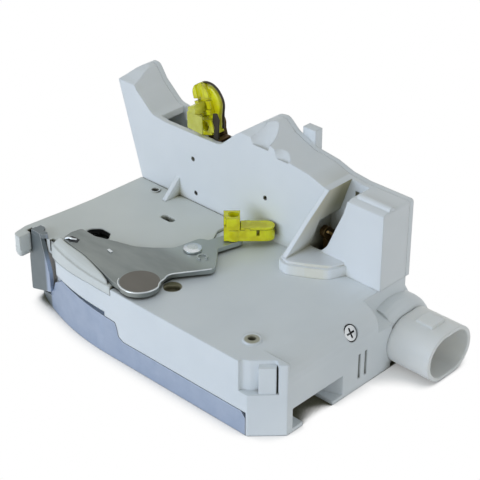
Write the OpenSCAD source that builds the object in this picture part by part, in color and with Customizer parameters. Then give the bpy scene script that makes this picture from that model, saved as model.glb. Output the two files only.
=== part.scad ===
// Side door latch with its lock actuator: a moulded base on a steel face plate, an upright
// actuator housing behind it, two rod clips on their levers and a plug socket at the end.
// +X runs along the base towards the striker mouth, +Y from the front wall to the rear bay,
// +Z up from the outer side of the face plate.

/* [Base] */
// length of the moulded base from its left end to the striker end
base_l = 140; // [130:1:160]
// depth of the base in front of the upright housing
base_w = 70.4; // [68:0.2:76]
// height of the base roof over the outer side of the face plate
base_h = 31.5; // [30:0.5:36]
// wall thickness of the mouldings
wall = 2.4; // [1.8:0.1:3]
// thickness of the base roof
roof_t = 2.5; // [2:0.1:3.5]
// plan chamfer of the corner beside the striker mouth
corner_c = 10.4; // [6:0.2:14]
// radius of the curved front wall at the left end
front_r = 118.7; // [100:0.5:150]
// distance from the left end to where the front wall turns straight
front_x = 52; // [46:0.5:56]
// width of the rounded edge along the striker end of the roof
bevel_w = 13; // [6:0.5:14]
// drop of that rounded edge
bevel_h = 9; // [6:0.5:12]
// outer radius of the rounded rear bay that holds the motor
rear_r = 22.3; // [20:0.1:26]
// height of the middle of the rounded rear bay
rear_z = 8; // [6:0.5:10]

/* [Face plate] */
// sheet thickness of the face plate
plate_t = 2; // [1.5:0.1:2.5]
// distance from the rear edge of the face plate to the rear of the base
plate_back = 4.4; // [3.4:0.2:10]
// distance from the striker end of the base to the end of the plate
plate_end = 11.4; // [8:0.2:14]
// height of the high part of the upturned flange
flange_hi = 19.4; // [16:0.2:24]
// height of the low part of the upturned flange
flange_lo = 9.9; // [8:0.1:14]
// outer radius of the tapped bosses drawn up from the plate
boss_r = 4.8; // [4.4:0.1:6]
// wall radius of the tapped hole in each boss
tap_r = 2.5; // [2:0.05:3.2]
// height of the tapped bosses over the outer side of the plate
boss_h = 8; // [6:0.5:10]

/* [Striker mouth] */
// width of the mouth at the end wall
mouth_w = 29; // [24:0.5:32]
// height of the mouth at the end wall
mouth_h = 10.6; // [9:0.1:11]
// distance of the middle of the mouth from the rear of the base
mouth_back = 42.9; // [42:0.1:45]
// width of the narrow slot that guides the striker bar
slot_w = 13.6; // [11:0.2:15]

/* [Claw and pawl] */
// distance of the claw pin from the striker end
claw_back = 52; // [50:0.1:54]
// distance of the claw pin from the middle of the mouth
claw_off = 19.5; // [18.5:0.1:21]
// radius of the claw pin
claw_pin_r = 5; // [4:0.1:5.5]
// thickness of the claw and pawl sheet
claw_t = 5; // [4:0.1:5.2]
// width of the jaw that takes the striker bar
jaw_w = 11.4; // [10:0.1:12]
// angle between the open and the closed claw
claw_swing = 55; // [45:1:60]
// distance between the pawl pin and the claw pin along the base
pawl_gap = 28; // [27:0.1:29]
// distance of the pawl pin from the front wall
pawl_y = 12.4; // [12:0.1:13.5]
// radius of the pawl pin
pawl_pin_r = 3.5; // [2.8:0.1:3.8]

/* [Release lever] */
// distance of the release lever rivet from the left end
rel_x = 62.9; // [62:0.1:64]
// distance of the release lever rivet from the front wall
rel_y = 39.1; // [38:0.1:40]
// sheet thickness of the release lever
rel_t = 2; // [1.5:0.1:2.2]
// radius of the rivet shoulder that carries the release lever
rel_pin_r = 3; // [2.6:0.1:4.4]
// radius of the rod hole in each yellow clip
rod_r = 2; // [1.6:0.05:2.2]
// radius of the hole in each lever that a clip turns in
rod_hole = 2.6; // [2.5:0.05:3]

/* [Upright housing] */
// thickness of the upright housing from front to back
up_t = 18; // [17:0.2:20]
// height of the notch between the two fins
notch_z = 64.5; // [62:0.5:67]
// height of the left fin
fin_l_z = 79.6; // [76:0.2:84]
// height of the right fin
fin_r_z = 79; // [76:0.2:83]
// distance of the box end from the left end of the base
box_x = 133; // [128:0.5:136]
// width of the open channel beside the box
chan_w = 20; // [16:0.5:22]

/* [Lock drive] */
// tooth size of the lock gears, pitch circle over tooth count
gear_m = 1; // [0.9:0.05:1.05]
// tooth count of the drive wheel
wheel_n = 30; // [28:1:32]
// tooth count of the small pinion on the drive wheel
pinion_n = 10; // [10:1:11]
// pitch radius of the toothed sector on the lock lever
sector_r = 22; // [21:0.5:23]
// pitch radius of the motor worm
worm_r = 4.2; // [4:0.1:4.6]
// outer diameter of the lock motor
motor_d = 20; // [18:0.5:20.4]
// length of the lock motor can
motor_l = 25; // [22:0.5:28]

/* [Plug socket] */
// length of the plug socket beyond the end of the base
plug_l = 20; // [16:0.5:26]
// width of the plug socket
plug_w = 27; // [24:0.5:30]
// height of the plug socket
plug_h = 20.6; // [18:0.2:23]

/* [Hidden] */
$fn = 48;
e = 0.01;
hair = 0.02;
run = 0.06;
gap = 0.35;
base_back = base_w + up_t;
inner_roof = base_h - roof_t;
split_x = 57;
seam_h = 2.4;
cover_z = base_h + 1;
cover_bot = base_h - 5.2;
front_wall = 4.4;
plate_x1 = base_l - plate_end;
claw_x = base_l - claw_back;
mouth_y = base_w - mouth_back;
claw_y = mouth_y + claw_off;
pawl_x = claw_x - pawl_gap;
plate_w = base_w - plate_back;
claw_z = plate_t + 1.2;
jacket_g = 1;
back_z = 12.6;
back_t = 2;
seat = claw_off;
rim_r = 18.2;
origin_x = 70;
origin_y = 33;
mouth_lo = mouth_y - mouth_w / 2;
mouth_hi = mouth_y + mouth_w / 2;
chan_x0 = base_l - 18;
disc = [65, 8.4];
disc_r = 8.3;
web_x = 94;
tab_x0 = 0;
tab_y0 = 5.6;
lever_z = cover_z + gap;
lever_top = lever_z + rel_t;
post_a = atan2(29, 9);
post_d = 10.6;
post_r = 2.4;
post_x = pawl_x + post_d * cos(post_a);
post_y = pawl_y + post_d * sin(post_a);
tab_x = post_x + post_r + gap;
wheel_r = gear_m * wheel_n / 2;
pinion_r = gear_m * pinion_n / 2;
motor_y = base_w + 10.6;
motor_z = base_h - 15.5;
wheel_x = 66;
wheel_z = motor_z + wheel_r + worm_r + 0.1;
sector_d = sector_r + pinion_r + 0.12;
sector_a = 154;
lock_x = wheel_x + sector_d * cos(sector_a);
lock_z = wheel_z + sector_d * sin(sector_a);
lock_tip = [36.5, notch_z + 4];
worm_x0 = 24 + motor_l + 10.2;
worm_l = 16;
gear_y0 = base_w + 4;
gear_y1 = gear_y0 + 4;
lock_y0 = gear_y1 + 0.6;
lock_t = 2;
chan_x1 = 106;
chan_x = chan_x1 - chan_w;
back_cover_y = base_back - wall;
plug_y = base_w + 10.6;
plug_z = 10.4;
bosses = [[21, 50], [39, 12], [base_l - 17.5, 54]];

// moves the drawing, which starts at the corner of the base, to the middle of the face plate
module on_frame() {
    translate([-origin_x, -origin_y, 0]) children();
}

// prism along Y from a profile drawn in X and Z
module along_y(y0, y1) {
    translate([0, y1, 0]) rotate([90, 0, 0]) linear_extrude(y1 - y0) children();
}

// prism along X from a profile drawn in Y and Z
module along_x(x0, x1) {
    translate([x0, 0, 0]) rotate([90, 0, 90]) linear_extrude(x1 - x0) children();
}

// prism along Z
module along_z(z0, z1) {
    translate([0, 0, z0]) linear_extrude(z1 - z0) children();
}

// bar with round ends between two points, its straight part a hair slimmer than the ends
module bar2d(a, b, r) {
    d = b - a;
    translate(a) circle(r = r);
    translate(b) circle(r = r);
    translate(a) rotate(atan2(d[1], d[0])) translate([0, hair - r]) square([norm(d), 2 * (r - hair)]);
}

// outline through the corners q = [x, y, r], each rounded with radius r
function soft(q, n = 5) = [for (i = [0:len(q) - 1]) let (
    p = [q[i][0], q[i][1]], m = len(q), a = [q[(i + m - 1) % m][0], q[(i + m - 1) % m][1]],
    b = [q[(i + 1) % m][0], q[(i + 1) % m][1]], u = (a - p) / norm(a - p), v = (b - p) / norm(b - p),
    h = acos(u * v) / 2, d = min(q[i][2] / tan(h), norm(a - p) * 0.48, norm(b - p) * 0.48),
    rr = d * tan(h), c = p + (u + v) / norm(u + v) * rr / sin(h), s = p + u * d - c, t = p + v * d - c,
    w = atan2(s[1], s[0]), k = turn(atan2(t[1], t[0]) - w))
    each (q[i][2] == 0 ? [p] : [for (j = [0:n]) c + rr * [cos(w + k * j / n), sin(w + k * j / n)]])];

// angle brought into the range from -180 to 180
function turn(a) = a > 180 ? a - 360 : a < -180 ? a + 360 : a;

// chain of round ended bars through a list of points
module path2d(pts, r) {
    for (i = [0:len(pts) - 2]) bar2d(pts[i], pts[i + 1], r);
}

// plan of the base set in by w from its outer faces, f from the front face
module base_plan(w, f, y1) {
    intersection() {
        translate([w, f]) square([front_x - w + 1, y1 - f]);
        translate([front_x, front_r]) circle(r = front_r - f, $fn = 120);
    }
    polygon([[front_x, f], [base_l - corner_c - w * 0.4, f], [base_l - w, corner_c + w * 0.4],
        [base_l - w, y1], [front_x, y1]]);
}

// ring of round wire lying flat
module wire_ring(r, wr) {
    rotate_extrude() translate([r, 0]) circle(r = wr, $fn = 16);
}

// stack of wire rings that touch, z is the underside
module wire_coil(r, wr, turns) {
    for (i = [0:turns - 1]) translate([0, 0, wr + i * wr * 1.96]) wire_ring(r, wr);
}

// spur gear outline with straight sided teeth
module gear2d(n, m, back) {
    r = n * m / 2;
    ro = r + 0.85 * m;
    rr = r - 1.1 * m;
    circle(r = rr + 0.02, $fn = 60);
    for (i = [0:n - 1]) rotate(i * 360 / n) tooth2d(r, ro, rr, m, back);
}

// one tooth that points along +X, thinned by back at the pitch circle
module tooth2d(r, ro, rr, m, back) {
    hp = m * PI / 4 - back / 2;
    polygon([[rr - 0.3, -hp - 0.36 * m], [r, -hp], [ro, -hp + 0.36 * m],
        [ro, hp - 0.36 * m], [r, hp], [rr - 0.3, hp + 0.36 * m]]);
}

// plan of the slot for the striker bar, wide at the end wall
module striker_slot(grow, x1) {
    bar2d([claw_x - 0.5, mouth_y], [chan_x0, mouth_y], slot_w / 2 + grow);
    polygon([[chan_x0 - 6, mouth_y - slot_w / 2 - grow], [x1, mouth_lo + 1 - grow],
        [x1, mouth_hi - 1 + grow], [chan_x0 - 6, mouth_y + slot_w / 2 + grow]]);
}

// plan of the tall tab, grown by g
module face_tab_plan(g) {
    polygon([[tab_x0 - g, tab_y0 + 0.9 - g], [15 + g, tab_y0 - 0.9 - g], [15 + g, tab_y0 + plate_t - 0.9 + g],
        [tab_x0 - g, tab_y0 + plate_t + 0.9 + g]]);
}

module face_plate() {
    color("#8a97ab") on_frame() {
        difference() {
            along_z(0, plate_t) intersection() {
                base_plan(3, 0.02, plate_w);
                translate([0, -1]) square([plate_x1, plate_w + 1]);
            }
            along_z(-1, plate_t + 1) striker_slot(0, plate_x1 + 1);
            along_z(-1, plate_t + 1) polygon([[plate_x1 - 12, plate_w + 1], [plate_x1 + 1, plate_w - 12],
                [plate_x1 + 1, plate_w + 1]]);
            for (b = bosses) translate([b[0], b[1], -1]) cylinder(r = tap_r, h = boss_h + 2);
            translate([claw_x, claw_y, -1]) cylinder(r = claw_pin_r - 1, h = 4);
            translate([pawl_x, pawl_y, -1]) cylinder(r = pawl_pin_r - 1, h = 4);
        }
        for (b = bosses) translate([b[0], b[1], plate_t - e]) difference() {
            cylinder(r = boss_r, h = boss_h - plate_t + e);
            translate([0, 0, -1]) cylinder(r = tap_r, h = boss_h);
        }
        // upturned flange along the straight part of the front
        along_y(0, plate_t) difference() {
            polygon([[front_x - e, 0], [plate_x1, 0], [plate_x1, flange_lo - 2.5], [plate_x1 - 2, flange_lo],
                [front_x + 11, flange_lo], [front_x + 8.4, flange_lo + 1.4], [front_x + 7.6, flange_hi - 4.2],
                [front_x + 6.6, flange_hi - 2.3], [front_x - e, flange_hi - 1.9]]);
        }
        // flange along the curved part, and the tall tab at its end
        intersection() {
            translate([front_x, front_r, 0]) difference() {
                cylinder(r = front_r, h = base_h + 4, $fn = 120);
                translate([0, 0, -1]) cylinder(r = front_r - plate_t, h = base_h + 6, $fn = 120);
            }
            along_y(-1, 20) union() {
                polygon([[tab_x0 + 0.4, 0], [front_x, 0], [front_x, flange_hi - 1.9], [24, flange_hi], [17, 15], [14, 9.4],
                    [tab_x0 + 0.4, 5.2]]);
            }
        }
        // tall tab that stands off the curved flange
        intersection() {
            along_z(4, cover_z + 2.1) face_tab_plan(0);
            along_y(0, 16) polygon(soft([[tab_x0, 4.4, 0.6], [14.2, 9.4, 0.6], [14, 18, 3], [10.6, 28.4, 2],
                [8.6, cover_z + 2.1, 0], [3.2, cover_z + 2.1, 0], [1.2, 27, 3], [tab_x0, 20, 3]]));
        }
        // step that joins the tab to the flange
        difference() {
            along_x(tab_x0 + 0.4, 12.6) polygon([[tab_y0 + 0.8, 6.4], [tab_y0 + 2.6, 6.4], [13.2, 3.4], [13.2, 1]]);
            translate([front_x, front_r, 0]) cylinder(r = front_r - plate_t, h = 20, $fn = 120);
        }
        // hook of the tab folded over the edge of the cover
        along_z(cover_z + gap, cover_z + gap + 1.75) intersection() {
            translate([0, tab_y0]) square([20, 20]);
            polygon([[3.2, 4], [8.6, 4], [11.6, 7.4], [10.2, 8.6], [7.6, 8.2], [6.2, 10.6], [3.6, 10.4]]);
        }
    }
}

module latch_housing() {
    color("#dfe6ea") on_frame() {
        difference() {
            union() {
                along_z(0, inner_roof) difference() {
                    base_plan(0, 0, base_w);
                    base_plan(wall, front_wall, base_w - e);
                }
                // roof of the right part, and the low roof under the cover
                along_z(inner_roof - e, base_h) difference() {
                    base_plan(0, 0, base_w);
                    translate([-1, -1]) square([split_x + 1, base_w + 2]);
                }
                along_z(cover_bot - 3, base_h - 1) intersection() {
                    base_plan(0, 0, base_w);
                    translate([18, -1]) square([split_x - 17, front_wall + 1.2]);
                }
                along_z(cover_bot - wall, cover_bot) intersection() {
                    base_plan(0, 0, base_w);
                    translate([-1, -1]) square([split_x + 1 + wall, base_w + 2]);
                }
                along_z(cover_bot - e, base_h) translate([split_x, front_wall - 0.2]) square([wall, base_w - front_wall]);
                // rear wall of the latch room
                along_y(base_w - wall, base_w) translate([e, plate_t + 0.3])
                    square([base_l - 2 * e, inner_roof - plate_t]);
                mouth_block();
                // thick edge under the rounded end of the roof
                along_y(corner_c + 1, base_w - e) polygon(concat([[base_l - bevel_w - 1, inner_roof + e]],
                    edge_curve(base_l - bevel_w - 1, base_h - bevel_h - 1, bevel_w + 1 - wall + e, bevel_h + 1 - roof_t + e),
                    [[base_l - wall + e, inner_roof + e]]));
                translate([base_l - 11, base_w - 11, mouth_h + 3]) cube([10, 10, inner_roof - mouth_h - 3 + e]);
                along_z(plate_t + gap, cover_bot - wall + e) translate([8, 60]) circle(r = 3.4);
                along_z(plate_t + gap, inner_roof + e) translate([base_l - 9, 62]) circle(r = 3.4);
            }
            // end of the roof left of the split is open under the cover
            translate([-1, front_wall, cover_bot]) cube([split_x + 1, base_w - front_wall, 20]);
            along_y(-1, front_wall + e) polygon([[-1, cover_bot], [20, cover_bot], [44, cover_bot + seam_h],
                [split_x, cover_bot + seam_h], [split_x, base_h + 1], [-1, base_h + 1]]);
            // the face plate lies in the underside and wraps the front
            along_z(-1, plate_t + e) translate([-1, -1]) square([plate_x1 + gap + 1, plate_w + gap + 1]);
            along_y(-1, plate_t + gap) polygon([[-1, -1], [plate_x1 + gap, -1], [plate_x1 + gap, flange_lo + gap],
                [front_x + 11.4, flange_lo + gap], [front_x + 8.8, flange_lo + 1.8], [front_x + 8, flange_hi - 4],
                [front_x + 7, flange_hi - 1.9], [front_x, flange_hi - 1.5], [24, flange_hi + gap], [-1, flange_hi + gap]]);
            front_rebate();
            along_z(-1, base_h + 1) face_tab_plan(gap);
            // mouth and slot for the striker bar
            along_z(-1, mouth_h) mouth_plan();
            // rounded edge along the striker end
            along_y(corner_c + 1, base_w + 1) polygon(concat(edge_curve(base_l - bevel_w, base_h - bevel_h, bevel_w, bevel_h),
                [[base_l + 1, base_h - bevel_h], [base_l + 1, base_h + 2], [base_l - bevel_w, base_h + 2]]));
            // end falls away beside the foot of the box
            along_y(base_w - 8.4, base_w + 1) polygon(soft([[box_x - 1.2, base_h + 4, 0], [box_x - 1.2, base_h - 9, 1.4],
                [base_l + 2, base_h - 12, 0], [base_l + 2, base_h + 4, 0]]));
            corner_pocket();
            // slot for the tab of the release lever
            along_z(cover_bot - 8, base_h + 1) translate([post_x - 6.1, post_y - 5])
                square([tab_x - post_x + 8.9, 10.4]);
            // seat of the lever rivet
            translate([rel_x, rel_y, 0]) cylinder(r = rel_pin_r - 1, h = base_h + 1);
            translate([rel_x, rel_y, cover_bot - wall - 1]) cylinder(r = 7.2, h = inner_roof - cover_bot + wall + 1);
            // oval recess beside the disc of the lever
            along_z(base_h - 1.9, base_h + 1) bar2d([disc[0] + 7.6, disc[1] + 8], [disc[0] + 9.4, disc[1] + 9.8], 2);
            // raised screw boss has its hole on the roof
            translate([base_l - 20.2, 13, base_h - 8]) cylinder(r = 1.6, h = 20);
            // ribs beside the mouth are cut as two grooves
            for (y = [50.4, 54.2]) translate([base_l - 1.1, y, 4.5]) cube([2, 1.4, 11.2]);
            // seat of the end screw
            at_screw() translate([0, 0, -6.4]) cylinder(r = 1.3, h = 9);
            at_screw() translate([0, 0, -1.6]) cylinder(r = 3.5, h = 9);
        }
        corner_tab();
        // floor lips on both sides of the way of the striker bar
        for (y = [mouth_lo - 0.4, mouth_hi - 6.05]) translate([plate_x1 + gap, y, 0]) cube([base_l - plate_x1 - gap, 6.45, 1.6]);
        // screw boss on the roof
        translate([base_l - 20.2, 13, base_h - 6]) difference() {
            cylinder(r = 3.6, h = 6.9);
            translate([0, 0, -1]) cylinder(r = 1.6, h = 12);
        }
        rear_bay();
    }
}

// quarter curve from the roof down to the end wall, with its middle at x and z
function edge_curve(x, z, rx, rz) = [for (k = [0:6]) [x + rx * sin(15 * k), z + rz * cos(15 * k)]];

// plan of the mouth, wide at the end wall and narrow at its inner end
module mouth_plan() {
    polygon([[chan_x0 - 3, mouth_y - slot_w / 2], [base_l + 1, mouth_lo], [base_l + 1, mouth_hi],
        [chan_x0 - 3, mouth_y + slot_w / 2]]);
}

// solid block behind the end wall that forms the mouth
module mouth_block() {
    along_z(plate_t + e, mouth_h + 2.4) polygon([[chan_x0, mouth_lo - 2], [base_l - wall + e, mouth_lo - 2],
        [base_l - wall + e, mouth_hi + 2], [chan_x0, mouth_hi + 2]]);
    along_z(0, plate_t + 1) polygon([[plate_x1 + gap, mouth_lo - 3], [base_l - wall + e, mouth_lo - 3],
        [base_l - wall + e, mouth_hi + 20], [plate_x1 + gap, mouth_hi + 20]]);
}

// rebate for the curved flange and the tall tab in the front wall
module front_rebate() {
    intersection() {
        translate([front_x, front_r, -1]) difference() {
            cylinder(r = front_r + 3, h = 60, $fn = 120);
            translate([0, 0, -1]) cylinder(r = front_r - plate_t - gap, h = 62, $fn = 120);
        }
        along_y(-3, 20) union() {
            translate([-1, -1]) square([front_x + 2, flange_hi + 1 + gap]);
            translate([2.6, 0]) square([16, 60]);
        }
    }
}

// pocket in the corner beside the mouth
module corner_pocket() {
    along_z(18.4, base_h + 1) polygon(soft([[base_l - 14.6, -1, 0], [base_l - 14.6, 1.6, 1], [base_l - 11.8, 3.2, 1], [base_l - 5, 10, 1],
        [base_l - 2.2, 8.2, 0], [base_l + 2, 4, 0], [base_l + 2, -1, 0]]));
}

// snap tab that stands in the corner pocket
module corner_tab() {
    along_z(18.4 - e, base_h - 1.8) polygon([[base_l - 9.6, 5.6], [base_l - 8, 3.4], [base_l - 3.4, 8], [base_l - 5, 10.2]]);
}

// rounded bay along the rear, open underneath, that carries the upright on its pedestal
module rear_bay() {
    difference() {
        union() {
            intersection() {
                translate([20, motor_y - 4.5, rear_z]) rotate([0, 90, 0]) cylinder(r = rear_r, h = base_l - 33, $fn = 96);
                translate([19, base_w - e, 0]) cube([base_l, 40, base_h]);
            }
            intersection() {
                translate([base_l - 14, motor_y - 1.5, 4]) rotate([0, 90, 0]) rotate_extrude($fn = 96)
                    polygon(soft([[0, 0, 0], [rear_r - 1.2, 0, 0], [rear_r - 1.2, 14, 7], [0, 14, 0]]));
                translate([base_l - 20, base_w - e, 0]) cube([base_l, 40, base_h]);
            }
            translate([0, base_w - e, base_h - 12]) cube([box_x - 1.2, up_t - 0.4, 12]);
            translate([0, base_w - e, plate_t + 0.2]) cube([24, up_t - 0.4, base_h - plate_t - 0.2]);
        }
        // room for the motor, worm and leads
        intersection() {
            translate([20 + wall, motor_y - 4.5, rear_z]) rotate([0, 90, 0])
                cylinder(r = rear_r - wall, h = base_l - 33 - 2 * wall, $fn = 96);
            translate([19, base_w, -1]) cube([base_l, 40, inner_roof + 1]);
        }
        translate([base_l - 16, base_w + 1, -1]) cube([13, up_t + 3, 14]);
        // opening up into the upright for the wheel and its neighbours
        translate([30, base_w + wall, 10]) cube([chan_x - 34, up_t - 2 * wall - 0.6, 40]);
        translate([chan_x + 2, base_w + 1.4, 18]) cube([chan_w - 4, up_t - 4, 30]);
        translate([chan_x + 0.6, base_w + 8.6, base_h - 4]) rotate([0, 90, 0]) cylinder(r = 2.02, h = chan_w - 1.2);
        // recess for the lid of the bay
        translate([19, base_w - 1, -1]) cube([base_l - 10, 29.4 + 2, plate_t + 0.3 + 1]);
        // hole where the plug socket passes the end wall
        plug_hole();
    }
    // wall with the far bearing of the worm shaft
    along_x(78, 79.6) difference() {
        intersection() {
            translate([motor_y - 4.5, rear_z]) circle(r = rear_r - 1, $fn = 96);
            translate([base_w, plate_t + 1.6]) square([40, 17.4]);
        }
        translate([motor_y, motor_z]) circle(r = 1 + run);
    }
    // saddles that hold the motor
    for (x = [27, 44]) along_x(x, x + 1.6) difference() {
        intersection() {
            translate([motor_y - 4.5, rear_z]) circle(r = rear_r - 1, $fn = 96);
            translate([base_w, plate_t + gap + 0.2]) square([40, base_h - plate_t - 4]);
        }
        intersection() {
            translate([motor_y, motor_z]) circle(r = motor_d / 2 + 0.2);
            translate([motor_y - 20, motor_z - motor_d * 0.385 - 0.2]) square([40, motor_d * 0.77 + 0.4]);
        }
    }
}

module plug_hole() {
    along_x(base_l - 12, base_l + 2) bar2d([plug_y - 5, plug_z], [plug_y + 5, plug_z], 5.6);
}

// outline of the cover seen from above
module cover_plan() {
    difference() {
        union() {
            intersection() {
                polygon(soft([[front_x + 5 - gap, 0.1, 0], [split_x - gap, base_w - 0.4, 0], [0, base_w - 0.4, 0], [-0.4, 42, 20],
                    [-1.4, 28, 20], [-3.4, 8, 8], [-2, 0.4, 2.4], [4, 0.1, 0]]));
                union() {
                    translate([front_x, front_r]) circle(r = front_r - 0.1, $fn = 120);
                    translate([front_x - 0.1, 0]) square([10, 20]);
                    translate([-5, -1]) square([7.2, 20]);
                }
            }
            polygon([[split_x - 1, 44.3], [68.2, 44.3], [60.4, 53], [56.3, 60.2], [55.2, 62], [54.4, 66],
                [53.6, base_w - 0.4], [50, base_w - 0.4], [50, 44.3]]);
        }
        // step for the tall tab of the face plate
        face_tab_plan(gap);
        translate([2.2, -1]) square([12.8, tab_y0 + 2]);
    }
}

// rounded nose of the cover at its front left corner, seen from above, inset by g
module cover_nose(g) {
    difference() {
        polygon(soft([[2.2 - g, 0.2 + g, 1], [-2 + g, 0.2 + g, 2.4], [-3.4 + g, 8, 4], [-3.2 + g, 13, 1], [-0.4, 13, 0],
            [-0.4, 9.4, 0], [2.2 - g, 9, 0]]));
        face_tab_plan(gap);
    }
}

// opening under the left end of the release lever
module lever_window() {
    polygon(soft([[18.2, 12, 1], [27.6, 12, 1], [30.6, 18.6, 1], [29, 25, 2], [26.4, 28.2, 1.4], [20.6, 28.4, 3],
        [17.6, 25, 3], [17.4, 19, 1]]));
}

module top_cover() {
    color("#b9c1c0") on_frame() {
        difference() {
            union() {
                along_z(cover_bot + 0.02, cover_z) intersection() {
                    cover_plan();
                    translate([-5, -1]) square([split_x - gap + 5, base_w + 1]);
                }
                along_z(base_h + 0.02, cover_z) cover_plan();
                cover_lip();
            }
            // hollow underside
            along_z(cover_bot - 1, cover_z - roof_t) difference() {
                translate([wall, 13]) square([split_x - 2 * wall - gap, base_w - 13 - wall]);
                translate([11.2, 60]) circle(r = 4);
            }
            along_z(cover_bot - 1, cover_z + 1) lever_window();
            // slot beside the hook of the tall tab
            along_z(cover_z - 5, cover_z + 1) polygon(soft([[12.4, 7.2, 0.6], [17.4, 7.6, 0.6], [16, 9.6, 0.8], [12.8, 9.4, 0.6]]));
            // oval slot near the upright
            along_z(cover_z - 4, cover_z + 1) bar2d([32.6, 52.7], [36.4, 52.7], 1.7);
            // rivet seat near the upright
            translate([13.4, 65.6, cover_z - 3]) cylinder(r = 1.6, h = 5);
            // edge of the cover rises towards the right along the front wall
            along_y(-1, front_wall + 0.3) polygon([[20, cover_bot - 1], [20, cover_bot + 0.02], [44, cover_bot + seam_h + 0.02],
                [split_x + 2, cover_bot + seam_h + 0.02], [split_x + 2, cover_bot - 1]]);
        }
        // rounded nose below the roof line
        along_z(22.6, 23.4) cover_nose(1);
        along_z(23.4 - e, 24.6) cover_nose(0.4);
        along_z(24.6 - e, cover_bot + 1) cover_nose(0);
        translate([13.4, 65.6, cover_z - e]) difference() {
            cylinder(r = 2.2, h = 0.6);
            translate([0, 0, -1]) cylinder(r = 1.6, h = 3);
        }
    }
}

// rounded lip along the front edge, with room for the whole swing of the lever
module cover_lip() {
    difference() {
        union() {
            translate([front_x, front_r, 0]) rotate(-107.8) rotate_extrude(angle = 17.82, $fn = 240) lip_section();
            translate([front_x - 0.02, front_r, 0]) rotate([90, 0, 90]) linear_extrude(5 - gap)
                mirror([1, 0]) lip_section();
        }
        along_z(cover_z - 0.5, cover_z + 6) {
            for (k = [0:2:12]) translate([rel_x, rel_y]) rotate(-k) translate([-rel_x, -rel_y - gap]) lever_plan();
            translate([10, 9.6]) square([60, 20]);
        }
    }
}

// section of the lip, its radius measured from the middle of the curved front wall
module lip_section() {
    r = front_r - 0.1;
    polygon([[r, cover_z - 2.2], [r - 0.3, cover_z - 0.9], [r - 0.9, cover_z + 0.3], [r - 1.8, cover_z + 1.2],
        [r - 3, cover_z + 1.9], [r - 4.6, lever_top], [r - 8.5, lever_top], [r - 8.5, cover_z - 2.2]]);
}

module back_plate() {
    color("#9aa1a8") on_frame() difference() {
        along_z(back_z, back_z + back_t) {
            polygon([[pawl_x - 12, 7], [pawl_x + 9, 7], [pawl_x + 12, 10], [pawl_x + 13, mouth_y - 7], [claw_x - 6, mouth_y - 7],
                [claw_x - 6, mouth_y + 8], [claw_x + 6, claw_y - 8], [claw_x + 10, claw_y], [claw_x + 8, claw_y + 8],
                [claw_x, claw_y + 12], [pawl_x + 6, claw_y + 12], [pawl_x - 12, claw_y], [pawl_x - 16, claw_y - 12]]);
            bar2d([claw_x, claw_y + 4], [base_l - 17.5, 55], 6.4);
        }
        for (z = [back_z - 1]) {
            translate([claw_x, claw_y, z]) cylinder(r = claw_pin_r - 1, h = 4);
            translate([pawl_x, pawl_y, z]) cylinder(r = pawl_pin_r - 1, h = 4);
        }
        along_z(back_z - 1, back_z + 3) pawl_post_slot(0.8);
    }
}

// plan of the path that the upright post of the pawl sweeps, grown by g
module pawl_post_slot(g) {
    translate([pawl_x, pawl_y]) for (k = [-2:1:18])
        rotate(k) translate([post_d * cos(post_a), post_d * sin(post_a)]) circle(r = post_r + g, $fn = 24);
}

// shouldered pin riveted between the face plate and the back plate
module shoulder_pin(x, y, r) {
    translate([x, y, 0.4]) cylinder(r = r - 1.02, h = back_z + back_t + 0.4);
    translate([x, y, plate_t]) cylinder(r = r, h = back_z - plate_t);
    translate([x, y, back_z + back_t]) cylinder(r = r + 0.4, h = 1.4);
}

module claw_pin() {
    color("#8d9298") on_frame() shoulder_pin(claw_x, claw_y, claw_pin_r);
}

module pawl_pin() {
    color("#8d9298") on_frame() shoulder_pin(pawl_x, pawl_y, pawl_pin_r);
}

module striker_bumper() {
    color("#26282a") on_frame() along_z(back_z - 2.9, back_z)
        polygon([[claw_x - 14.6, mouth_y - 4.6], [claw_x - 8, mouth_y - 4.6], [claw_x - 7, mouth_y - 2], [claw_x - 7, mouth_y + 2],
            [claw_x - 8, mouth_y + 4.6], [claw_x - 14.6, mouth_y + 4.6]]);
}

// steel outline of the claw in its closed pose about its pin, grown by g
module claw2d(g) {
    difference() {
        union() {
            circle(r = 13 + g);
            bar2d([0, 0], [-11, -seat + 4], 4.6 + g);
            bar2d([-11.4, -seat + 6], [-9.8, -seat - 7], 3.8 + g);
            bar2d([3, -2], [9.4, -seat + 1], 4.8 + g);
            bar2d([9.4, -seat + 3], [9.6, -seat - 7.4], 3.6 + g);
            rim2d(g);
        }
        bar2d([0, -seat], [0, -seat - 20], jaw_w / 2 - g);
    }
}

// ratchet rim on the side of the claw away from the mouth
module rim2d(g) {
    difference() {
        intersection() {
            circle(r = rim_r + g, $fn = 72);
            polygon([[0, 0], [-40, 26 + g], [-40, -34 - g]]);
        }
        translate([-18.4, -7.6]) rotate(22) translate([-3, -3.6 + g]) square([6 - g, 7.2 - 2 * g]);
    }
}

module claw_pose() {
    translate([claw_x, claw_y, 0]) rotate(claw_swing) children();
}

module claw() {
    color("#7e858c") on_frame() claw_pose() difference() {
        along_z(claw_z, claw_z + claw_t) claw2d(0);
        translate([0, 0, -1]) cylinder(r = claw_pin_r + run, h = 20);
    }
}

module claw_jacket() {
    color("#2b2d30") on_frame() claw_pose() difference() {
        along_z(claw_z - 0.5, claw_z + claw_t + 0.7) claw2d(jacket_g);
        along_z(claw_z, claw_z + claw_t) claw2d(0);
        // bare steel at the ratchet rim and around the hub
        along_z(-1, 20) polygon([[-14.4, 24], [-40, 30], [-40, -37], [-14.4, -13]]);
        translate([0, 0, -1]) cylinder(r = 7.2, h = 30);
    }
}

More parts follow.
